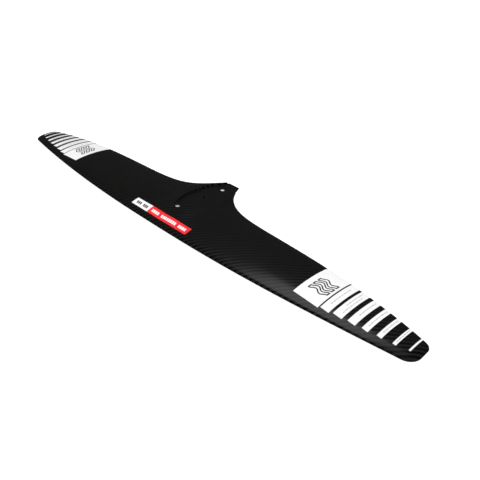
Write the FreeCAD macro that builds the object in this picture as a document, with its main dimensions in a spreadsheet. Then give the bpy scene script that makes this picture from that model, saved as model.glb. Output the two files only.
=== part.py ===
"""Front wing of a hydrofoil: a moulded sandwich wing with a bolt-on hub seat, built as bonded pieces.

X runs along the span, the leading edge faces -Y, +Z is up. Every size comes from the sheet below.
"""
import FreeCAD
import Part
import math
import os

import Sketcher

doc = FreeCAD.newDocument("front_wing")
V = FreeCAD.Vector

SIZES = {
    # planform, measured from the centre plane and the front bolt
    "span": 799.0,
    "lead_root": -45.0,
    "lead_sweep": 40.8,
    "lead_power": 2.45,
    "trail_root": 53.7,
    "trail_sweep": 19.8,
    "trail_power": 3.37,
    "lead_corner": 15.0,
    "trail_corner": 8.0,
    "tip_drop": 17.0,
    "drop_power": 3.55,
    # section
    "crown_ratio": 0.085,
    "belly_ratio": 0.42,
    "crown_power": 0.816,
    "belly_power": 1.3,
    "edge_half": 0.5,
    "skin": 1.0,
    "tip_round": 12.0,
    # hub fairing and tang behind the trailing edge
    "hub_rise": 3.6,
    "hub_reach": 29.0,
    "hub_fade": 0.28,
    "flare_length": 54.3,
    "flare_start": 17.5,
    "flare_scale": 26.0,
    "tang_end": 117.3,
    "tang_half": 14.2,
    "tang_drop": 6.0,
    "tang_edge": 1.0,
    "keel": 3.6,
    "keel_reach": 16.0,
    "pad_height": -8.6,
    "hub_half": 32.0,
    "hub_front": -24.0,
    # bolted seat
    "seat_height": 10.9,
    "seat_slope": 8.0,
    "seat_nose": 9.5,
    "seat_waist": 20.8,
    "seat_tail": 11.5,
    "rim_height": 3.2,
    "bolt_spacing": 90.6,
    "insert_offset": 52.3,
    "bolt_radius": 3.2,
    "bush_radius": 5.0,
    "sink_radius": 6.6,
    "sink_depth": 3.4,
    "bush_foot": 7.6,
    "bush_recess": 0.4,
    "bush_cover": 1.2,
    "insert_radius": 4.5,
    "insert_depth": 6.0,
    "insert_recess": 0.3,
    "thread_radius": 2.5,
    "thread_floor": 1.0,
    # inner structure
    "solid_tip": 27.5,
    "spar_front": -14.0,
    "spar_back": 16.0,
    "spar_end": 330.0,
    "cap_depth": 1.6,
    "web_front": 0.0,
    "web_width": 3.0,
    "edge_strip": 9.0,
    # printed films
    "film": 0.12,
    "panel_inner": 237.0,
    "panel_outer": 275.2,
    "panel_front": -19.5,
    "label_left": -63.0,
    "label_split": -27.8,
    "label_right": 56.0,
    "label_front": -35.7,
    "label_back": -22.4,
    "film_margin": 0.3,
}

sheet = doc.addObject("Spreadsheet::Sheet", "sizes")
for row, (name, value) in enumerate(SIZES.items(), start=1):
    sheet.set(f"A{row}", name)
    sheet.set(f"B{row}", str(value))
    sheet.setAlias(f"B{row}", name)
doc.recompute()


def size(name):
    return float(sheet.get(name))


half_span = size("span") / 2
block_x = half_span - size("solid_tip")

# inner edge, outer edge and front end of each printed bar, from the panel to the tip
BARS = [
    (277.2, 289.6, -16.9),
    (293.6, 306.0, -13.6),
    (312.4, 322.8, -10.4),
    (330.3, 338.6, -7.3),
    (348.3, 354.8, -3.3),
    (367.0, 371.5, 0.9),
    (384.8, 387.0, 7.0),
]


# ---------------------------------------------------------------- wing shape

def corner(x, radius):
    """How far a rounded tip corner has pulled the edge in at span station x."""
    past = (abs(x) - half_span + radius) / radius
    return radius * (1 - math.sqrt(max(0.0, 1 - past * past))) if past > 0 else 0.0


def lead_line(x):
    return size("lead_root") + size("lead_sweep") * (abs(x) / half_span) ** size("lead_power")


def trail_line(x):
    return size("trail_root") - size("trail_sweep") * (abs(x) / half_span) ** size("trail_power")


def lead(x):
    return lead_line(x) + corner(x, size("lead_corner"))


def rear(x):
    """Back edge of the section: the trailing edge plus the flare that grows into the tang."""
    reach = math.sqrt(x * x + 64) - size("flare_start")
    return trail_line(x) + size("flare_length") * math.exp(-reach / size("flare_scale")) \
        - corner(x, size("trail_corner"))


def hump(q, power):
    """Section height from nose to tail, 1 at its highest point."""
    peak = 0.5 / (0.5 + power)
    return math.sqrt(q) * (1 - q) ** power / (math.sqrt(peak) * (1 - peak) ** power)


def heights(x, q, inset=0.0):
    """Upper and lower surface heights at chord fraction q."""
    far = abs(x)
    chord = trail_line(x) - lead_line(x)
    # the hub's extra height grows in behind the leading edge, so that the nose stays straight
    grown = min(1.0, q / size("hub_fade"))
    hub_lift = size("hub_rise") / (1 + (far / size("hub_reach")) ** 5) * grown * grown * (3 - 2 * grown)
    rise = size("crown_ratio") * chord + hub_lift
    past = max(0.0, (far - half_span + size("tip_round")) / size("tip_round"))
    fade = math.sqrt(max(0.02, 1 - past * past))
    middle = -size("tip_drop") * (far / half_span) ** size("drop_power")
    middle -= size("tang_drop") * math.exp(-(far / 20) ** 2) * q ** 3
    edge = (size("edge_half") + size("tang_edge") * math.exp(-(far / 35) ** 2)) * q
    if inset:
        edge *= 0.45
    upper = (rise - inset) * hump(q, size("crown_power")) + edge
    lower = (size("belly_ratio") * rise - inset) * hump(q, size("belly_power")) + edge
    lower += size("keel") / (1 + (far / size("keel_reach")) ** 4) * q * math.sqrt(1 - q) / 0.385
    return middle + fade * upper, middle - fade * lower


def section(x, inset=0.0):
    """Upper curve, lower curve and the two points they share at the nose and the back edge."""
    steps = 22
    front, back = lead(x) + inset, rear(x)
    upper, lower = [], []
    for j in range(steps + 1):
        q = (1 - math.cos(math.pi * j / steps)) / 2
        top, bottom = heights(x, q, inset)
        upper.append(V(x, front + (back - front) * q, top))
        lower.append(V(x, front + (back - front) * q, bottom))
    points = upper[::-1] + lower[1:]
    # every section shares one parameter per point, so the lofted surfaces stay light
    curve = Part.BSplineCurve()
    curve.interpolate(Points=points, Parameters=[float(k) for k in range(len(points))])
    return (curve.toShape(0, steps), curve.toShape(steps, 2 * steps),
            upper[-1], lower[0], lower[-1])


def wire(edges):
    return Part.Wire(Part.sortEdges(edges)[0])


def full_wire(x, inset=0.0):
    upper, lower, top, _, bottom = section(x, inset)
    return wire([upper, lower, Part.makeLine(bottom, top)])


def skin_wire(x, side):
    """Skin cross-section between the outer and the inner surface, side 0 upper and 1 lower."""
    outer, inner = section(x), section(x, size("skin"))
    back = 2 if side == 0 else 4
    return wire([outer[side], Part.makeLine(outer[3], inner[3]),
                 inner[side], Part.makeLine(inner[back], outer[back])])


STATIONS = [0, 6, 12, 17, 22, 27, 32, 38, 45, 54, 66, 82, 104, 135, 170, 210, 250, 290, 325, 352]
spread = [-block_x] + [-x for x in STATIONS[:0:-1]] + STATIONS + [block_x]
round_start = half_span - size("lead_corner")
tip_stations = [block_x, block_x + 6.2] + [
    round_start + size("lead_corner") * math.sin(math.radians(a)) for a in range(0, 91, 15)]

outer = Part.makeLoft([full_wire(x) for x in spread], True)
inner = Part.makeLoft([full_wire(x, size("skin")) for x in spread], True)
skins = [Part.makeLoft([skin_wire(x, side) for x in spread], True) for side in (0, 1)]
tip = Part.makeLoft([full_wire(x) for x in tip_stations], True)


# ---------------------------------------------------------------- cutting tools

def slab(x0, x1, y0, y1):
    return Part.makeBox(x1 - x0, y1 - y0, 120, V(x0, y0, -60))


def prism(points):
    """Tall vertical prism on a closed plan outline."""
    outline = Part.makePolygon([V(x, y, -60) for x, y in points + points[:1]])
    return Part.Face(outline).extrude(V(0, 0, 120))


def moved(shape, rise):
    copy = shape.copy()
    copy.translate(V(0, 0, rise))
    return copy


def seat_z(y):
    return size("seat_height") - y * math.tan(math.radians(size("seat_slope")))


def belly_z(y):
    """Height of the underside on the centre plane."""
    return heights(0, (y - lead(0)) / (rear(0) - lead(0)))[1]


def on_seat(height):
    """Placement whose XY plane lies parallel to the seat floor, raised by the given height."""
    return FreeCAD.Placement(V(0, 0, size("seat_height") + height),
                             FreeCAD.Rotation(V(1, 0, 0), -size("seat_slope")))


def sketch_on(body, role, name):
    sketch = body.newObject("Sketcher::SketchObject", name)
    plane = next(f for f in body.Origin.OriginFeatures if getattr(f, "Role", "") == role)
    sketch.AttachmentSupport = [(plane, "")]
    sketch.MapMode = "FlatFace"
    return sketch


def seat_pocket():
    """Bullet-shaped tool for the seat, open at the tang end and padded up from the seat floor."""
    body = doc.addObject("PartDesign::Body", "seat_tool")
    sketch = sketch_on(body, "XY_Plane", "seat_outline")
    nose, end = size("seat_nose"), size("tang_end") + 6
    side = [V(nose, 6, 0), V(17.6, 28, 0), V(size("seat_waist"), 48, 0), V(19.8, 88, 0),
            V(13.4, 107, 0), V(size("seat_tail"), end, 0)]
    far_side = [V(-p.x, p.y, 0) for p in side]
    for points in (side, far_side):
        edge = Part.BSplineCurve()
        edge.interpolate(points)
        sketch.addGeometry(edge)
    sketch.addGeometry(Part.Arc(side[0], V(0, -nose - 2, 0), far_side[0]))
    sketch.addGeometry(Part.LineSegment(side[-1], far_side[-1]))
    pad = body.newObject("PartDesign::Pad", "seat_pad")
    pad.Profile = sketch
    pad.Length = 30
    body.Tip = pad
    body.Placement = on_seat(0)
    doc.recompute()
    return body.Shape.copy()


def amount(text):
    """Value of a sum of sheet names and plain numbers."""
    return sum(size(term) if term in SIZES else float(term) for term in text.split(" + "))


def formula(text):
    return " + ".join("sizes." + term if term in SIZES else term for term in text.split(" + "))


def turned(name, profile, place):
    """Body turned about Z from (radius, height) pairs written as sums of sheet names."""
    body = doc.addObject("PartDesign::Body", name)
    sketch = sketch_on(body, "XZ_Plane", name + "_profile")
    corners = [tuple(amount(text) for text in pair) for pair in profile]
    count = len(profile)
    for k in range(count):
        sketch.addGeometry(Part.LineSegment(V(*corners[k], 0), V(*corners[(k + 1) % count], 0)))
    for k in range(count):
        sketch.addConstraint(Sketcher.Constraint("Coincident", k, 2, (k + 1) % count, 1))
    for k, pair in enumerate(profile):
        for kind, value, text in zip(("DistanceX", "DistanceY"), corners[k], pair):
            spot = sketch.addConstraint(Sketcher.Constraint(kind, -1, 1, k, 1, value))
            sketch.setExpression(f"Constraints[{spot}]", formula(text))
    turn = body.newObject("PartDesign::Revolution", name + "_turn")
    turn.Profile = sketch
    turn.ReferenceAxis = (sketch, ["V_Axis"])
    turn.Angle = 360
    body.Tip = turn
    body.Placement = place
    doc.recompute()
    return body


def piece(name, shape):
    part = doc.addObject("Part::Feature", name)
    part.Shape = shape.removeSplitter()
    return part


def mirrored(shape):
    return shape.mirror(V(0, 0, 0), V(1, 0, 0))


def pair(name, shape):
    """The same piece on both wings; right is +X."""
    return [piece(name + "_right", shape), piece(name + "_left", mirrored(shape))]


# ---------------------------------------------------------------- metal inserts

bolts = {"front": 0.0, "rear": size("bolt_spacing")}
bushes, feet = [], []
for place, y in bolts.items():
    foot = max(belly_z(y) + size("bush_recess"), size("pad_height"))
    length = place + "_bush_length"
    SIZES[length] = round(seat_z(y) - size("bush_cover") - foot, 2)
    sheet.set(f"A{len(SIZES)}", length)
    sheet.set(f"B{len(SIZES)}", str(SIZES[length]))
    sheet.setAlias(f"B{len(SIZES)}", length)
    doc.recompute()
    profile = [("bolt_radius", "sink_depth"), ("sink_radius", "0"), ("bush_foot", "0"),
               ("bush_foot", "1"), ("bush_radius", "sink_depth + 1"), ("bush_radius", length),
               ("bolt_radius", length)]
    bushes.append(turned(place + "_bolt_bush", profile,
                         FreeCAD.Placement(V(0, y, foot), FreeCAD.Rotation())))
    feet.append(foot)

insert_y = size("insert_offset")
insert_z = seat_z(insert_y) - size("insert_recess") - size("insert_depth")
insert = turned("middle_insert", [
    ("0", "0"), ("insert_radius", "0"), ("insert_radius", "insert_depth"),
    ("thread_radius", "insert_depth"), ("thread_radius", "thread_floor"), ("0", "thread_floor"),
], FreeCAD.Placement(V(0, insert_y, insert_z), FreeCAD.Rotation()))


# ---------------------------------------------------------------- hub and skins

hub_half, hub_front, tang_end = size("hub_half"), size("hub_front"), size("tang_end")
tang = size("tang_half")
hub_plan = prism([(-hub_half, hub_front), (hub_half, hub_front), (hub_half, 100), (tang + 3.6, 100),
                  (tang, tang_end), (-tang, tang_end), (-tang - 3.6, 100), (-hub_half, 100)])
above_rim = Part.makeBox(400, 400, 60)
above_rim.Placement = on_seat(size("rim_height")).multiply(
    FreeCAD.Placement(V(-200, -200, 0), FreeCAD.Rotation()))

# a flat under the tang, where the head of the rear bolt bears
below_pad = Part.makeBox(400, 400, 40, V(-200, -200, size("pad_height") - 40))
hub = outer.common(hub_plan).cut(above_rim).cut(below_pad).cut(seat_pocket())
for (place, y), foot in zip(bolts.items(), feet):
    hub = hub.cut(Part.makeCylinder(size("bolt_radius"), 80, V(0, y, -40)))
    hub = hub.cut(Part.makeCylinder(size("bush_foot"), 40 + foot, V(0, y, -40)))
for bush in bushes:
    hub = hub.cut(bush.Shape)
hub = hub.cut(Part.makeCylinder(size("insert_radius"), 40, V(0, insert_y, insert_z)))
# the plugs left inside the countersinks fall away
hub = max(hub.Solids, key=lambda solid: solid.Volume)

clear = slab(-half_span - 5, half_span + 5, hub_front, 200).common(
    slab(-hub_half, hub_half, -100, 200))
upper_skin, lower_skin = (skin.cut(clear) for skin in skins)


# ---------------------------------------------------------------- core, spar and edge pieces

def trail_points(x0, x1, back_off):
    count = max(2, int((x1 - x0) / 14))
    steps = [x0 + (x1 - x0) * k / count for k in range(count + 1)]
    return [(x, rear(x) - back_off) for x in steps]


spar_front, spar_back, spar_end = size("spar_front"), size("spar_back"), size("spar_end")
web_front = size("web_front")
web_back = web_front + size("web_width")
filling = inner.common(slab(0, block_x, -100, 200)).cut(clear)
below = moved(inner, -size("cap_depth"))
above = moved(inner, size("cap_depth"))
spar = filling.common(slab(hub_half, spar_end, spar_front, spar_back))
cap_upper = spar.cut(below)
cap_lower = spar.cut(above)
strip_line = trail_points(hub_half, block_x, size("edge_strip"))
strip_plan = prism(strip_line + [(block_x + 1, 200), (hub_half - 1, 200)])
web_plan = slab(hub_half, spar_end, web_front, web_back)
strip = filling.common(strip_plan)
web = spar.common(web_plan).common(below).common(above)
nose = filling.common(slab(0, block_x, -100, web_front)).cut(cap_upper).cut(cap_lower)
tail = filling.common(slab(0, block_x, web_front, 200)).cut(strip_plan).cut(web_plan)
tail = tail.cut(cap_upper).cut(cap_lower)


# ---------------------------------------------------------------- printed films

def film(base, plans):
    """Film lying on the upper surface over the given plan outlines."""
    lifted = moved(base, size("film"))
    sheets = [lifted.common(prism(plan)).cut(base) for plan in plans]
    return sheets[0] if len(sheets) == 1 else Part.makeCompound(sheets)


def film_plan(x0, x1, front):
    return [(x0, front), (x1, front)] + trail_points(x0, x1, size("film_margin"))[::-1]


panel = film(outer, [film_plan(size("panel_inner"), size("panel_outer"), size("panel_front"))])
bars = film(outer, [film_plan(*bar) for bar in BARS if bar[1] < block_x])
bars = Part.makeCompound(bars.Solids + film(tip, [film_plan(*BARS[-1])]).Solids)
front_y, back_y = size("label_front"), size("label_back")
left, split, right = size("label_left"), size("label_split"), size("label_right")
label_white = film(outer, [[(left, front_y), (split, front_y), (split, back_y), (left, back_y)]])
label_red = film(outer, [[(split, front_y), (right, front_y), (right, back_y), (split, back_y)]])


# ---------------------------------------------------------------- pieces and export

nodes = [piece("upper_skin", upper_skin), piece("lower_skin", lower_skin), piece("hub_block", hub)]
nodes += bushes + [insert]
for name, shape in (("nose_core", nose), ("tail_core", tail), ("upper_spar_cap", cap_upper),
                    ("lower_spar_cap", cap_lower), ("shear_web", web), ("edge_strip", strip),
                    ("tip_block", tip), ("tip_panel", panel), ("tip_bars", bars)):
    nodes += pair(name, shape)
nodes += [piece("label_white", label_white), piece("label_red", label_red)]
doc.recompute()

os.makedirs("parts", exist_ok=True)
for node in nodes:
    node.Label = node.Name
    shape = node.Shape
    if shape.isNull() or not shape.isValid() or {"Invalid", "Error"} & set(node.State):
        raise RuntimeError(node.Name + " did not build")
    shape.exportStep(os.path.join("parts", node.Name + ".step"))
    box = shape.BoundBox
    print(f"{node.Name:22s} {len(shape.Solids):2d} solids {shape.Volume / 1000:8.2f} cm3 "
          f"z {box.ZMin:7.2f} to {box.ZMax:6.2f}")
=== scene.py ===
"""Front wing of a hydrofoil: laminate shell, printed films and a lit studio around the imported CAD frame.

X runs along the span, the leading edge faces -Y, +Z is up. Shapes are worked out in millimetres.
"""
import math

import bmesh
import bpy
import numpy as np
from mathutils import Matrix, Vector


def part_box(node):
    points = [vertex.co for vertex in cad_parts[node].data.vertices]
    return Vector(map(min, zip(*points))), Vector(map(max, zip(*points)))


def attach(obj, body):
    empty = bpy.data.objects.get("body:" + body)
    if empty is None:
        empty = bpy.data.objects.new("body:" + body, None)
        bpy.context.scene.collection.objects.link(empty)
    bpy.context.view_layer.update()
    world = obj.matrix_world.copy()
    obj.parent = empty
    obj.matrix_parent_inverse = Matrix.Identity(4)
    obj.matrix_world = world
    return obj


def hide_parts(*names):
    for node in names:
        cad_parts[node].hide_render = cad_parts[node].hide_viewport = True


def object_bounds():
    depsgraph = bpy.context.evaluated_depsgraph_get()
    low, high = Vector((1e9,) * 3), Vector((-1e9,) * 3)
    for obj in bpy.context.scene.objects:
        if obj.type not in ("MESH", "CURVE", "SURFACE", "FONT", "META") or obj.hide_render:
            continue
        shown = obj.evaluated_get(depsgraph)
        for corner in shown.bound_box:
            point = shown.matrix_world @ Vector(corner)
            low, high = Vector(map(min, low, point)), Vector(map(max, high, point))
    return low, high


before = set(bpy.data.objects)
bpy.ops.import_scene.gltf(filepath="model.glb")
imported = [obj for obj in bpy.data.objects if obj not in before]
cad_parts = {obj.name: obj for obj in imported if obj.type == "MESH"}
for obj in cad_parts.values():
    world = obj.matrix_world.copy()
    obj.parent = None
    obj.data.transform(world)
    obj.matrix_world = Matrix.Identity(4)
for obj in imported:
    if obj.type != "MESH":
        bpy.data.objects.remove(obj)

start_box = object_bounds()
MM = 0.001

# ------------------------------------------------------------------ wing sizes, in millimetres

# planform: each edge's place at the middle, how far it sweeps in by the tip, and the power of its curve
HALF = 399.5
LEAD_ROOT, LEAD_SWEEP, LEAD_POWER = -45.0, 40.8, 2.45
TRAIL_ROOT, TRAIL_SWEEP, TRAIL_POWER = 53.7, 19.8, 3.37
LEAD_CORNER, TRAIL_CORNER, TIP_ROUND = 15.0, 8.0, 12.0
TIP_DROP, DROP_POWER = 17.0, 3.55

# section: height above and below the middle line, as shares of the chord and of the height above it
CROWN_RATIO, CROWN_POWER = 0.085, 0.816
BELLY_RATIO, BELLY_POWER = 0.42, 1.3
EDGE_HALF = 0.5

# hub and tang
FLARE_LENGTH, FLARE_START, FLARE_SCALE, FLARE_SOFT = 54.3, 17.5, 26.0, 8.0
TANG_END, TANG_HALF, TANG_SHOULDER, SHOULDER_Y = 117.3, 14.2, 17.8, 100.0
TANG_DROP, DROP_REACH, TANG_EDGE, EDGE_REACH = 6.0, 20.0, 1.0, 35.0
HUB_HALF, HUB_RISE, HUB_REACH, HUB_FADE = 32.0, 3.6, 29.0, 0.28
KEEL, KEEL_REACH = 3.6, 16.0
KEEL_PEAK = 0.385        # the highest value of q * sqrt(1 - q)
PAD_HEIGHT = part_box("hub_block")[0].z / MM

# bolted seat
SEAT_HEIGHT, SEAT_SLOPE, RIM_HEIGHT = 10.9, math.tan(math.radians(8.0)), 3.2
SEAT_WALL, RIM_SOFT, SEAT_SOFT, PAD_SOFT = 0.4, 0.8, 0.5, 0.3
BOLT_Y = (0.0, 90.6)
BUSH_FEET = [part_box(name)[0].z / MM for name in ("front_bolt_bush", "rear_bolt_bush")]
BOLT_RADIUS, BUSH_RADIUS, FOOT_RADIUS = 3.2, 5.0, 7.6
BUSH_COVER, FOOT_RIM, SINK_END = 1.2, 1.0, 4.4
INSERT_Y, INSERT_RADIUS, INSERT_BELOW = 52.3, 4.5, 6.3
# stations along the seat and its half width there
SEAT_SIDE = [(-30, 2.0), (-14, 2.5), (-9, 4.6), (0, 8.2), (6, 9.6), (28, 17.6), (48, 20.8), (70, 20.7),
             (88, 19.6), (98, 16.7), (107, 13.4), (117.4, 12.0), (130, 11.5)]

# shell mesh: rows from nose to tail, columns outboard of WARP_END
ROWS, OUTER_COLUMNS, WARP_END = 120, 130, 46.0

# ------------------------------------------------------------------ wing surface


def corner(x, radius):
    """How far a rounded tip corner has pulled the edge in at span station x."""
    past = np.clip((np.abs(x) - HALF + radius) / radius, 0, 1)
    return radius * (1 - np.sqrt(1 - past * past))


def lead_line(x):
    return LEAD_ROOT + LEAD_SWEEP * (np.abs(x) / HALF) ** LEAD_POWER


def trail_line(x):
    return TRAIL_ROOT - TRAIL_SWEEP * (np.abs(x) / HALF) ** TRAIL_POWER


def lead(x):
    return lead_line(x) + corner(x, LEAD_CORNER)


def rear(x):
    """Back edge of the section: the trailing edge plus the flare that grows into the tang."""
    reach = np.sqrt(x * x + FLARE_SOFT ** 2) - FLARE_START
    return trail_line(x) + FLARE_LENGTH * np.exp(-reach / FLARE_SCALE) - corner(x, TRAIL_CORNER)


def back_edge(x):
    """Visible back edge: the flare cut to the outline of the tang."""
    far = np.abs(x)
    slope = (TANG_END - SHOULDER_Y) / (TANG_SHOULDER - TANG_HALF)
    side = SHOULDER_Y + np.clip(TANG_SHOULDER - far, 0, 20) * slope
    return np.minimum(np.minimum(rear(x), TANG_END), side)


def hump(q, power):
    """Section height from nose to tail, 1 at its highest point."""
    peak = 0.5 / (0.5 + power)
    return np.sqrt(q) * (1 - q) ** power / (math.sqrt(peak) * (1 - peak) ** power)


def heights(x, y):
    """Moulded upper and lower surface, before the seat is cut."""
    far = np.abs(x)
    q = np.clip((y - lead(x)) / (rear(x) - lead(x)), 0, 1)      # 0 at the nose, 1 at the back edge
    hub_lift = HUB_RISE / (1 + (far / HUB_REACH) ** 5) * step(q, 0, HUB_FADE)
    rise = CROWN_RATIO * (trail_line(x) - lead_line(x)) + hub_lift
    past = np.clip((far - HALF + TIP_ROUND) / TIP_ROUND, 0, 1)
    fade = np.sqrt(np.maximum(0.02, 1 - past * past))
    middle = -TIP_DROP * (far / HALF) ** DROP_POWER - TANG_DROP * np.exp(-(far / DROP_REACH) ** 2) * q ** 3
    edge = (EDGE_HALF + TANG_EDGE * np.exp(-(far / EDGE_REACH) ** 2)) * q
    upper = rise * hump(q, CROWN_POWER) + edge
    lower = BELLY_RATIO * rise * hump(q, BELLY_POWER) + edge
    lower = lower + KEEL / (1 + (far / KEEL_REACH) ** 4) * q * np.sqrt(1 - q) / KEEL_PEAK
    return middle + fade * upper, middle - fade * lower


def smooth_min(a, b, soft):
    """The lower of two surfaces, blended where they are closer than soft."""
    blend = np.clip(0.5 + 0.5 * (b - a) / soft, 0, 1)
    return b + (a - b) * blend - soft * blend * (1 - blend)


def step(value, low, high):
    """0 up to low, 1 from high on, and an even S curve between."""
    t = np.clip((value - low) / (high - low), 0, 1)
    return t * t * (3 - 2 * t)


def seat_floor(y):
    return SEAT_HEIGHT - y * SEAT_SLOPE


side_y, side_x = (np.array(v, float) for v in zip(*SEAT_SIDE))


def seat_half(y):
    """Half width of the bullet-shaped seat, smoothed between its stations."""
    offsets = np.linspace(-2, 2, 9)
    weights = np.exp(-offsets ** 2)
    widths = [w * np.interp(y + 3 * o, side_y, side_x) for o, w in zip(offsets, weights)]
    return sum(widths) / weights.sum()


def top_height(x, y):
    """Finished upper surface with the rim plane and the sunk seat."""
    moulded, _ = heights(x, y)
    capped = smooth_min(moulded, seat_floor(y) + RIM_HEIGHT, RIM_SOFT)
    surface = moulded + (capped - moulded) * step(HUB_HALF - np.abs(x), 0, 3)
    wall = step(np.abs(x) - seat_half(y), -SEAT_WALL, SEAT_WALL)
    inside = (1 - wall) * step(y, -16, -10)
    return surface + (smooth_min(surface, seat_floor(y), SEAT_SOFT) - surface) * inside


def low_height(x, y):
    """Finished underside with the flat pad under the tang."""
    _, moulded = heights(x, y)
    padded = -smooth_min(-moulded, -PAD_HEIGHT, PAD_SOFT)
    return np.where(np.abs(x) < HUB_HALF, padded, moulded)


# ------------------------------------------------------------------ mesh helpers

def make_object(name, vertices, faces):
    mesh = bpy.data.meshes.new(name)
    mesh.from_pydata((np.asarray(vertices) * MM).tolist(), [], faces)
    obj = bpy.data.objects.new(name, mesh)
    bpy.context.scene.collection.objects.link(obj)
    return obj


def weld(obj, gap=2e-6):
    """Joins points that coincide and turns every face outward."""
    bm = bmesh.new()
    bm.from_mesh(obj.data)
    bmesh.ops.remove_doubles(bm, verts=bm.verts, dist=gap)
    bmesh.ops.dissolve_degenerate(bm, edges=bm.edges, dist=gap)
    bmesh.ops.recalc_face_normals(bm, faces=bm.faces)
    bm.to_mesh(obj.data)
    bm.free()


def smooth(obj, angle=32):
    """Smooth shading, with edges sharper than angle degrees kept crisp."""
    for polygon in obj.data.polygons:
        polygon.use_smooth = True
    obj.data.set_sharp_from_angle(angle=math.radians(angle))


def grid_faces(rows, columns, offset=0, flip=False):
    faces = []
    for i in range(rows - 1):
        for j in range(columns - 1):
            a = offset + i * columns + j
            quad = (a, a + 1, a + columns + 1, a + columns)
            faces.append(quad[::-1] if flip else quad)
    return faces


def border(rows, columns):
    """Indices round the outside of a grid, in order."""
    front = list(range(columns))
    right = [i * columns + columns - 1 for i in range(1, rows)]
    back = [(rows - 1) * columns + j for j in range(columns - 2, -1, -1)]
    left = [i * columns for i in range(rows - 2, 0, -1)]
    return front + right + back + left


def closed_shell(top, bottom):
    """Vertices and faces of a solid between two grids of points with the same shape."""
    rows, columns, _ = top.shape
    count = rows * columns
    loop = border(rows, columns)
    walls = [(a, b, b + count, a + count) for a, b in zip(loop, loop[1:] + loop[:1])]
    faces = grid_faces(rows, columns) + grid_faces(rows, columns, count, True) + walls
    return np.concatenate([top.reshape(-1, 3), bottom.reshape(-1, 3)]), faces


# ------------------------------------------------------------------ laminate shell

def span_columns():
    """Columns across the half span as (fixed part, share of the seat's half width).

    Near the middle they follow the seat edge, and outboard they are plain x.
    """
    near = 0.9
    inner = [(-near * v, v) for v in np.linspace(0, 1, 15)[:-1]]
    edge = [(v, 1.0) for v in (-near, -0.6, -0.4, -0.25, -0.12, 0, 0.12, 0.25, 0.4, 0.6, near)]
    rim = [(near + v * (WARP_END - near), 1 - v) for v in np.linspace(0, 1, 26)[1:]]
    out_end = HALF - LEAD_CORNER
    out = [(v, 0.0) for v in np.linspace(WARP_END, out_end, OUTER_COLUMNS)[1:]]
    tip = [(out_end + LEAD_CORNER * math.sin(a), 0.0) for a in np.linspace(0, math.pi / 2, 20)[1:]]
    return np.array(inner + edge + rim + out + tip)


def shell_plan():
    """Plan points of the shell: rows by chord fraction, columns along the span."""
    fixed, follow = span_columns().T
    share = np.linspace(0, 1, ROWS)[:, None]
    # the rows lie closest together at the nose, where the section turns round
    fraction = (0.62 * share + 0.38 * share ** 3) ** 1.35
    y = LEAD_ROOT + 150 * fraction * np.ones_like(fixed)
    # x depends on the seat's width at y and y on the edges at x, so they settle together
    for _ in range(40):
        x = fixed + follow * seat_half(y)
        y = 0.5 * y + 0.5 * (lead(x) + (back_edge(x) - lead(x)) * fraction)
    x = fixed + follow * seat_half(y)
    y = lead(x) + (back_edge(x) - lead(x)) * fraction
    half = np.stack([x, y], -1)
    return np.concatenate([half[:, :0:-1] * (-1, 1), half], axis=1)


def lathe(profile, y, segments=96):
    """Closed turned solid about a vertical axis at (0, y) from (radius, height) pairs.

    It is turned by half a segment, so that none of its edges lies on the centre plane.
    """
    vertices, faces = [], []
    count = len(profile)
    for k in range(segments):
        a = 2 * math.pi * (k + 0.5) / segments
        vertices += [(r * math.cos(a), y + r * math.sin(a), z) for r, z in profile]
    for k in range(segments):
        this, after = k * count, (k + 1) % segments * count
        faces += [(this + i, after + i, after + i + 1, this + i + 1) for i in range(count - 1)]
    faces.append(tuple(k * count for k in range(segments))[::-1])
    faces.append(tuple(k * count + count - 1 for k in range(segments)))
    return vertices, faces


def hole_cutter():
    """Room for the two bushes, the holes above them and the blind hole of the insert."""
    vertices, faces, profiles = [], [], []
    far_below, far_above = -30, 30
    for y, foot in zip(BOLT_Y, BUSH_FEET):
        bush_top = float(seat_floor(y)) - BUSH_COVER
        profile = [(FOOT_RADIUS, far_below), (FOOT_RADIUS, foot + FOOT_RIM), (BUSH_RADIUS, foot + SINK_END),
                   (BUSH_RADIUS, bush_top), (BOLT_RADIUS, bush_top), (BOLT_RADIUS, far_above)]
        profiles.append((y, profile))
    insert_z = float(seat_floor(INSERT_Y)) - INSERT_BELOW
    profiles.append((INSERT_Y, [(INSERT_RADIUS, insert_z), (INSERT_RADIUS, far_above)]))
    for y, profile in profiles:
        more, sides = lathe(profile, y)
        faces += [tuple(i + len(vertices) for i in face) for face in sides]
        vertices += more
    cutter = make_object("hole_cutter", vertices, faces)
    weld(cutter)
    return cutter


def wing_laminate():
    """The whole moulded outside as one closed shell, with its holes."""
    plan = shell_plan()
    x, y = plan[..., 0], plan[..., 1]
    top = np.stack([x, y, top_height(x, y)], -1)
    bottom = np.stack([x, y, low_height(x, y)], -1)
    obj = make_object("wing_laminate", *closed_shell(top, bottom))
    weld(obj)
    cutter = hole_cutter()
    cut = obj.modifiers.new("holes", "BOOLEAN")
    cut.object, cut.operation, cut.solver = cutter, "DIFFERENCE", "EXACT"
    graph = bpy.context.evaluated_depsgraph_get()
    finished = bpy.data.meshes.new_from_object(obj.evaluated_get(graph))
    obj.modifiers.clear()
    obj.data = finished
    bpy.data.objects.remove(cutter)
    smooth(obj)
    return obj


# ------------------------------------------------------------------ printed films and marks

# how far the top of a film or a mark stands above the laminate, and its thickness
FILM_LIFT, FILM_THICK, FILM_MARGIN = 0.1, 0.2, 0.3
MARK_LIFT, MARK_THICK = 0.14, 0.08

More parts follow.
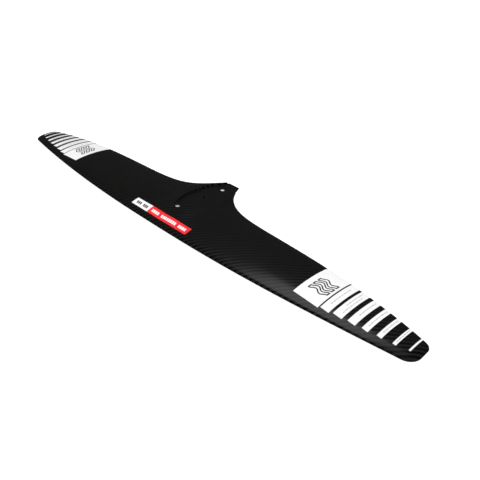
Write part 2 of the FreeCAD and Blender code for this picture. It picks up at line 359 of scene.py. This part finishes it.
# inner end, outer end and front edge of the seven bars and the panel
BARS = [(277.2, 289.6, -16.9), (293.6, 306.0, -13.6), (312.4, 322.8, -10.4), (330.3, 338.6, -7.3),
        (348.3, 354.8, -3.3), (367.0, 371.5, 0.9), (384.8, 387.0, 7.0)]
PANEL = (237.0, 275.2, -19.5)
LABEL_LEFT, LABEL_SPLIT, LABEL_RIGHT, LABEL_FRONT, LABEL_BACK = -63.0, -27.8, 56.0, -35.7, -22.4
BLOCK_FRONT, BLOCK_BACK, BLOCK_GAP, BLOCK_SLANT, WORD_SPACE = -31.8, -26.8, 0.9, 1.2, 1.2

# three wave-shaped bands on each panel
WAVE_START, WAVE_LENGTH, WAVE_SWING, WAVE_HALF, WAVE_LINE = 246.0, 25.0, 2.4, 2.6, 1.8
WAVE_FIRST, WAVE_STEP = 4.0, 9.5

# rows of dashes: the bar, the share of its width where the row runs, and its start and end along the chord
DASH_ROWS = [(0, 0.5, 0.2, 0.86), (1, 0.33, 0.36, 0.92), (1, 0.68, 0.14, 0.84), (2, 0.5, 0.3, 0.93),
             (3, 0.5, 0.16, 0.94), (4, 0.5, 0.2, 0.92), (5, 0.5, 0.14, 0.9)]
DASH_PATTERN, DASH_GAP, DASH_WIDTH = (3.4, 5.2, 2.6, 4.4), 1.3, 1.1


def patch(corners, lift, thick, across, along):
    """Thin solid that follows the upper surface over a four-sided plan shape.

    corners go round in order; lift is how far its top stands above the surface.
    """
    a, b, c, d = (np.array(p, float) for p in corners)
    u = np.linspace(0, 1, across)[None, :, None]
    v = np.linspace(0, 1, along)[:, None, None]
    plan = (a * (1 - u) + b * u) * (1 - v) + (d * (1 - u) + c * u) * v
    x, y = plan[..., 0], plan[..., 1]
    z = top_height(x, y) + lift
    return closed_shell(np.stack([x, y, z], -1), np.stack([x, y, z - thick], -1))


def edge_patch(inner, outer, front):
    """Film from a straight front edge back to the curved trailing edge."""
    x = np.linspace(inner, outer, 26)[None, :] * np.ones((70, 1))
    v = np.linspace(0, 1, 70)[:, None]
    y = front + (back_edge(x) - FILM_MARGIN - front) * v
    z = top_height(x, y) + FILM_LIFT
    return closed_shell(np.stack([x, y, z], -1), np.stack([x, y, z - FILM_THICK], -1))


def join_patches(name, patches, mirror=False):
    """One object out of several thin solids, on the other wing if mirrored."""
    vertices, faces, offset = [], [], 0
    for points, quads in patches:
        points = points * np.array([-1.0 if mirror else 1.0, 1.0, 1.0])
        vertices.append(points)
        faces += [tuple(i + offset for i in face) for face in quads]
        offset += len(points)
    obj = make_object(name, np.concatenate(vertices), faces)
    weld(obj)
    smooth(obj, 40)
    return obj


def stroke(start, end, width):
    """One straight printed line between two plan points."""
    a, b = np.array(start, float), np.array(end, float)
    along = (b - a) / np.linalg.norm(b - a)
    side = np.array([-along[1], along[0]]) * width / 2
    count = max(2, int(np.linalg.norm(b - a) / 1.5))
    return patch([a + side, a - side, b - side, b + side], MARK_LIFT, MARK_THICK, 2, count)


def outline(loop, width):
    """Printed line of even width all round a loop of plan points, with mitred corners."""
    ahead = np.roll(loop, -1, 0) - loop
    ahead /= np.linalg.norm(ahead, axis=1, keepdims=True)
    after = np.stack([-ahead[:, 1], ahead[:, 0]], -1)
    before = np.roll(after, 1, 0)
    offset = (after + before) / (1 + (after * before).sum(1, keepdims=True)) * width / 2
    rings = [(loop + offset, MARK_LIFT), (loop - offset, MARK_LIFT),
             (loop - offset, MARK_LIFT - MARK_THICK), (loop + offset, MARK_LIFT - MARK_THICK)]
    points = [np.column_stack([ring, top_height(*ring.T) + height]) for ring, height in rings]
    count = len(loop)
    faces = []
    for k in range(4):
        this, other = k * count, (k + 1) % 4 * count
        for i in range(count):
            j = (i + 1) % count
            faces.append((this + i, other + i, other + j, this + j))
    return np.concatenate(points), faces


def wave_band(middle_y):
    """Outline of one band along the span, with one and a half waves and level ends."""
    share = np.linspace(0, 1, 31)
    x = WAVE_START + WAVE_LENGTH * share
    y = middle_y - WAVE_SWING * np.cos(3 * math.pi * share)
    near = np.column_stack([x, y - WAVE_HALF])
    far = np.column_stack([x, y + WAVE_HALF])
    return outline(np.concatenate([near, far[::-1]]), WAVE_LINE)


def panel_motif():
    return [wave_band(WAVE_FIRST + WAVE_STEP * k) for k in range(3)]


def bar_dashes():
    """Rows of plain dashes standing for the fine print along the bars."""
    strokes = []
    for bar, across, begin, finish in DASH_ROWS:
        inner, outer, front = BARS[bar]
        x = inner + (outer - inner) * across
        reach = float(back_edge(x)) - front
        y, stop, turn = front + reach * begin, front + reach * finish, 0
        while y < stop:
            length = min(DASH_PATTERN[turn % len(DASH_PATTERN)], stop - y)
            if length > 1:
                strokes.append(stroke((x, y), (x, y + length), DASH_WIDTH))
            y += length + DASH_GAP
            turn += 1
    return strokes


def block_words(right, left, words):
    """A row of slanted blocks standing for words with so many letters, from right to left."""
    blocks = []
    pitch = (right - left) / (sum(words) + WORD_SPACE * (len(words) - 1))
    width = pitch - BLOCK_GAP
    x = right
    for word in words:
        for _ in range(word):
            corners = [(x - width, BLOCK_FRONT), (x, BLOCK_FRONT),
                       (x - BLOCK_SLANT, BLOCK_BACK), (x - width - BLOCK_SLANT, BLOCK_BACK)]
            blocks.append(patch(corners, MARK_LIFT, MARK_THICK, 3, 5))
            x -= pitch
        x -= WORD_SPACE * pitch
    return blocks


# ------------------------------------------------------------------ materials

class Graph:
    """Small helper that adds shader nodes and links them."""

    def __init__(self, name):
        self.material = bpy.data.materials.new(name)
        self.material.use_nodes = True
        self.tree = self.material.node_tree
        self.shader = self.tree.nodes["Principled BSDF"]

    def add(self, kind, inputs=None, **settings):
        made = self.tree.nodes.new(kind)
        for key, value in settings.items():
            setattr(made, key, value)
        for key, value in (inputs or {}).items():
            self.put(made.inputs[key], value)
        return made

    def put(self, socket, value):
        if isinstance(value, bpy.types.NodeSocket):
            self.tree.links.new(value, socket)
        else:
            socket.default_value = value

    def maths(self, operation, *values):
        made = self.add("ShaderNodeMath", dict(enumerate(values)), operation=operation)
        return made.outputs[0]

    def mix(self, share, a, b):
        made = self.add("ShaderNodeMix", {0: share, 6: a, 7: b}, data_type="RGBA")
        return made.outputs[2]

    def place(self):
        return self.add("ShaderNodeTexCoord").outputs["Object"]

    def noise(self, scale, detail=3.0):
        made = self.add("ShaderNodeTexNoise", {"Vector": self.place(), "Scale": scale, "Detail": detail})
        return made.outputs["Fac"]

    def spread(self, value, low, high):
        made = self.add("ShaderNodeMapRange", {"Value": value, "To Min": low, "To Max": high})
        return made.outputs["Result"]

    def bump(self, height, strength, distance):
        made = self.add("ShaderNodeBump", {"Height": height, "Strength": strength, "Distance": distance})
        self.put(self.shader.inputs["Normal"], made.outputs["Normal"])

    def set(self, **values):
        for key, value in values.items():
            self.put(self.shader.inputs[key.replace("_", " ")], value)


def grey(value, warm=0.0):
    return (value * (1 + warm), value, value * (1 - warm), 1.0)


def twill(graph, pitch):
    """2x2 twill of crossed tows: which tow is on top, and the rounded height of the one on top."""
    split = graph.add("ShaderNodeSeparateXYZ", {"Vector": graph.place()})
    across = graph.maths("DIVIDE", split.outputs[0], pitch)
    along = graph.maths("DIVIDE", split.outputs[1], pitch)
    turn = graph.maths("SUBTRACT", graph.maths("FLOOR", across), graph.maths("FLOOR", along))
    on_top = graph.maths("LESS_THAN", graph.maths("FLOORED_MODULO", turn, 4.0), 1.5)
    rounds = [graph.maths("SINE", graph.maths("MULTIPLY", graph.maths("FRACT", v), math.pi))
              for v in (across, along)]
    height = graph.add("ShaderNodeMix", {0: on_top, 2: rounds[1], 3: rounds[0]}).outputs[0]
    return on_top, height


TOW_WIDTH = 2.0 * MM


def carbon(name, dark, light, coat):
    """Woven carbon under resin: dark and light tows, cloudy where the cloth sits deeper."""
    graph = Graph(name)
    on_top, height = twill(graph, TOW_WIDTH)
    shade = graph.mix(on_top, grey(dark), grey(light, 0.03))
    cloud = graph.spread(graph.noise(45.0), 0.0, 0.35)
    graph.set(Base_Color=graph.mix(cloud, shade, grey(dark * 0.8)),
              Roughness=graph.spread(graph.noise(220.0), 0.34, 0.46),
              Coat_Weight=coat, Coat_Roughness=0.2, Specular_IOR_Level=0.15)
    graph.bump(height, 0.35, 0.06 * MM)
    return graph.material


def printed(name, colour, dull):
    """Ink under the clear coat, with the cloth below faintly showing through."""
    graph = Graph(name)
    _, height = twill(graph, TOW_WIDTH)
    graph.set(Base_Color=graph.mix(graph.spread(graph.noise(90.0), 0.0, 1.0), colour, dull),
              Roughness=graph.spread(graph.noise(300.0), 0.38, 0.5), Coat_Weight=0.4, Coat_Roughness=0.2)
    graph.bump(height, 0.12, 0.03 * MM)
    return graph.material


def foam():
    """Closed cells of the cream core."""
    graph = Graph("core_foam_cells")
    voronoi = graph.add("ShaderNodeTexVoronoi", {"Vector": graph.place(), "Scale": 900.0})
    cells = voronoi.outputs["Distance"]
    graph.set(Base_Color=graph.mix(cells, (0.72, 0.62, 0.43, 1), (0.82, 0.76, 0.6, 1)), Roughness=0.9)
    graph.bump(cells, 0.5, 0.3 * MM)
    return graph.material


def steel(name, dark, light, metallic):
    """Turned metal with fine tool rings."""
    graph = Graph(name)
    ring_pitch = 0.25 * MM
    split = graph.add("ShaderNodeSeparateXYZ", {"Vector": graph.place()})
    rings = graph.maths("SINE", graph.maths("MULTIPLY", split.outputs[2], 2 * math.pi / ring_pitch))
    graph.set(Base_Color=graph.mix(graph.noise(400.0), grey(dark), grey(light)), Metallic=metallic,
              Roughness=graph.spread(graph.noise(600.0), 0.3, 0.45))
    graph.bump(rings, 0.2, 0.01 * MM)
    return graph.material


# ------------------------------------------------------------------ pieces

def add_piece(obj, material, stands_for=()):
    obj.data.materials.clear()
    obj.data.materials.append(material)
    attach(obj, "root")
    if stands_for:
        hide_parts(*stands_for)


gloss_carbon = carbon("gloss_carbon", 0.0001, 0.012, 1.0)
matt_carbon = carbon("matt_carbon", 0.012, 0.02, 0.0)
white_ink = printed("white_ink", grey(0.92), grey(0.86))
red_ink = printed("red_ink", (0.93, 0.012, 0.022, 1), (0.86, 0.01, 0.018, 1))
black_ink = printed("black_ink", grey(0.008), grey(0.014))
grey_ink = printed("grey_ink", grey(0.42), grey(0.5))
foam_cells = foam()
bright_steel = steel("bright_steel", 0.94, 0.98, 0.05)
dark_steel = steel("dark_steel", 0.012, 0.03, 0.6)

# the pieces that the outside shows
add_piece(wing_laminate(), gloss_carbon,
          ("upper_skin", "lower_skin", "hub_block", "tip_block_right", "tip_block_left",
           "edge_strip_right", "edge_strip_left"))

for side, flip in (("right", False), ("left", True)):
    add_piece(join_patches("printed_panel_" + side, [edge_patch(*PANEL)], flip), white_ink,
              ("tip_panel_" + side,))
    add_piece(join_patches("printed_bars_" + side, [edge_patch(*bar) for bar in BARS], flip), white_ink,
              ("tip_bars_" + side,))
    add_piece(join_patches("panel_motif_" + side, panel_motif(), flip), black_ink)
    add_piece(join_patches("bar_dashes_" + side, bar_dashes(), flip), grey_ink)


def label_part(name, left, right, material, node):
    corners = [(left, LABEL_FRONT), (right, LABEL_FRONT), (right, LABEL_BACK), (left, LABEL_BACK)]
    film = patch(corners, FILM_LIFT, FILM_THICK, 60, 18)
    add_piece(join_patches(name, [film]), material, (node,))


label_part("label_plain", LABEL_LEFT, LABEL_SPLIT, white_ink, "label_white")
label_part("label_accent", LABEL_SPLIT, LABEL_RIGHT, red_ink, "label_red")
add_piece(join_patches("label_blocks_dark", block_words(-32.5, -57.5, (3, 3))), black_ink)
add_piece(join_patches("label_blocks_light", block_words(51.0, -23.0, (4, 8, 4))), white_ink)

# materials of the CAD nodes inside the shell, by the start of their names
INNER = {"nose_core": foam_cells, "tail_core": foam_cells, "upper_spar_cap": matt_carbon,
         "lower_spar_cap": matt_carbon, "shear_web": matt_carbon,
         "front_bolt_bush": bright_steel, "rear_bolt_bush": bright_steel, "middle_insert": dark_steel}
for name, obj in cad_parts.items():
    for start, material in INNER.items():
        if name.startswith(start):
            obj.data.materials.clear()
            obj.data.materials.append(material)

# ------------------------------------------------------------------ studio and camera

FLOOR_Z = start_box[0].z
FLOOR_FLAT, COVE_RADIUS, WALL_TOP = 2.5, 2.5, 6.0
CAMERA_PLACE = (0.58012, -0.46012, 0.48363)


def studio_floor():
    """Pale floor that curves up into a wall all round, so that every view has a plain background."""
    rings = [(r, 0.0) for r in (0.0001, 1.0, FLOOR_FLAT)]
    for a in np.linspace(0.1, math.pi / 2, 14):
        rings.append((FLOOR_FLAT + COVE_RADIUS * math.sin(a), COVE_RADIUS - COVE_RADIUS * math.cos(a)))
    rings.append((FLOOR_FLAT + COVE_RADIUS, WALL_TOP))
    segments = 96
    points = [(r * math.cos(t) / MM, r * math.sin(t) / MM, (FLOOR_Z + z) / MM)
              for r, z in rings for t in np.linspace(0, 2 * math.pi, segments, endpoint=False)]
    faces = []
    for i in range(len(rings) - 1):
        this, outer = i * segments, (i + 1) * segments
        for j in range(segments):
            after = (j + 1) % segments
            faces.append((this + j, this + after, outer + after, outer + j))
    obj = make_object("studio_floor", points, faces)
    weld(obj)
    smooth(obj, 60)
    graph = Graph("studio_white")
    tone = graph.mix(graph.noise(0.6, 1.0), grey(0.4), grey(0.42))
    graph.set(Base_Color=tone, Roughness=0.9, Emission_Color=(1, 1, 1, 1), Emission_Strength=0.92)
    obj.data.materials.append(graph.material)
    obj.visible_glossy = False


def softbox(name, location, aim, width, height, power, reflected=True):
    """Area light; one that isn't reflected lights the part without showing in its gloss."""
    data = bpy.data.lights.new(name, "AREA")
    data.shape, data.size, data.size_y, data.energy = "RECTANGLE", width, height, power
    light = bpy.data.objects.new(name, data)
    light.location = location
    light.visible_glossy = reflected
    light.rotation_mode = "QUATERNION"
    light.rotation_quaternion = (Vector(aim) - Vector(location)).to_track_quat("-Z", "Y")
    bpy.context.scene.collection.objects.link(light)


def photo_camera(azimuth=44.54, elevation=36.03, roll=-0.13):
    """Camera that looks down on the right wing from the nose side."""
    a, e, r = (math.radians(v) for v in (azimuth, elevation, roll))
    back = Vector((math.sin(a) * math.cos(e), -math.cos(a) * math.cos(e), math.sin(e)))
    right = Vector((math.cos(a), math.sin(a), 0))
    up = back.cross(right)
    right, up = right * math.cos(r) + up * math.sin(r), up * math.cos(r) - right * math.sin(r)
    data = bpy.data.cameras.new("camera")
    data.lens, data.sensor_width = 45, 36
    camera = bpy.data.objects.new("camera", data)
    matrix = Matrix((right, up, back)).transposed().to_4x4()
    matrix.translation = CAMERA_PLACE
    camera.matrix_world = matrix
    bpy.context.scene.collection.objects.link(camera)
    bpy.context.scene.camera = camera


def studio_world():
    world = bpy.data.worlds.new("studio")
    world.use_nodes = True
    world.node_tree.nodes["Background"].inputs[0].default_value = (0.03, 0.03, 0.03, 1)
    bpy.context.scene.world = world
    bpy.context.scene.view_settings.view_transform = "Standard"


studio_floor()
softbox("overhead_softbox", (-0.05, 0.16, 1.2), (-0.05, 0.16, 0), 0.8, 1.02, 3.0)
softbox("fill_softbox", (0, 0, 1.8), (0, 0, 0), 1.6, 1.6, 11, reflected=False)
studio_world()
photo_camera()
